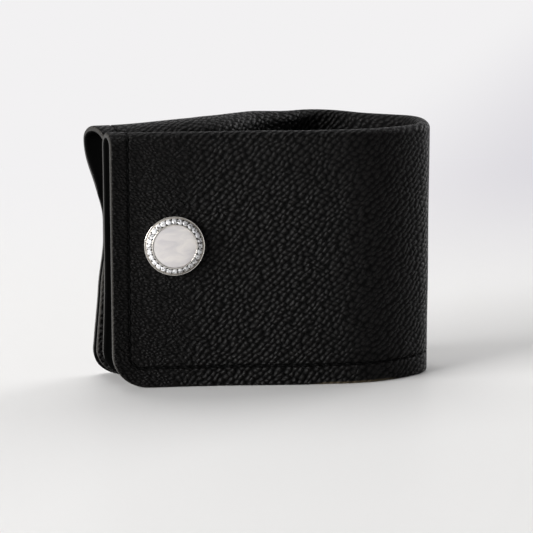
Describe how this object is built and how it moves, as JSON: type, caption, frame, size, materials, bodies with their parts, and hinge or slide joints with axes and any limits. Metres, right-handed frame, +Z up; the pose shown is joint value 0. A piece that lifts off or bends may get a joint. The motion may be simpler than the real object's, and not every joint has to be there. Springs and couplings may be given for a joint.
{
  "type": "leather cuff bracelet",
  "caption": "Wide grained leather cuff, one lined panel folded double and bent into a loop, that flexes open at its side and closes with a round jewelled snap.",
  "frame": {"origin": "middle of the outer box at the bottom edges, where the cuff stands", "axes": "+Z up to the fold, +X along the loop from the snap to the side bend, the front wall with the snap faces -Y"},
  "size_m": [0.0668, 0.0254, 0.0509],
  "materials": {
    "grained_leather": "grained, semi-matt black",
    "lining_leather": "smooth matt black",
    "waxed_thread": "waxed black thread",
    "cap_metal": "polished white metal",
    "cut_stones": "faceted clear stones",
    "pearl_inlay": "pale pearly satin",
    "snap_metal": "plated metal",
    "spring_wire": "spring wire"
  },
  "bodies": {
    "back_band": {"skin_back": "grained_leather", "lining_back": "lining_leather", "thread_back": "waxed_thread", "stud": "snap_metal", "stud_post": "snap_metal"},
    "bend_back": {"skin_bend_back": "grained_leather", "lining_bend_back": "lining_leather", "thread_bend_back": "waxed_thread"},
    "bend_front": {"skin_bend_front": "grained_leather", "lining_bend_front": "lining_leather", "thread_bend_front": "waxed_thread"},
    "front_band": {"skin_front": "grained_leather", "lining_front": "lining_leather", "thread_front": "waxed_thread", "cap_plate": "cap_metal", "stone_ring": "cap_metal", "stones": "cut_stones", "setting_beads": "cap_metal", "inlay_disc": "pearl_inlay", "cap_post": "snap_metal", "socket": "snap_metal", "socket_spring": "spring_wire"}
  },
  "joints": [
    {"name": "side_flex", "type": "hinge", "parent": "bend_back", "child": "bend_front", "pos_m": [0.03351, 0.00029, 0], "axis": [0, 0, 1], "range_deg": [0, 72]},
    {"name": "crown_flex", "type": "hinge", "parent": "back_band", "child": "bend_back", "pos_m": [0.01284, 0.01306, 0], "axis": [0, 0, 1], "range_deg": [0, 43.2]},
    {"name": "shoulder_flex", "type": "hinge", "parent": "bend_front", "child": "front_band", "pos_m": [0.02344, -0.01005, 0], "axis": [0, 0, 1], "range_deg": [0, 36]}
  ],
  "couplings": [
    {"joint": "crown_flex", "follows": "side_flex", "ratio": 0.6},
    {"joint": "shoulder_flex", "follows": "side_flex", "ratio": 0.5}
  ]
}
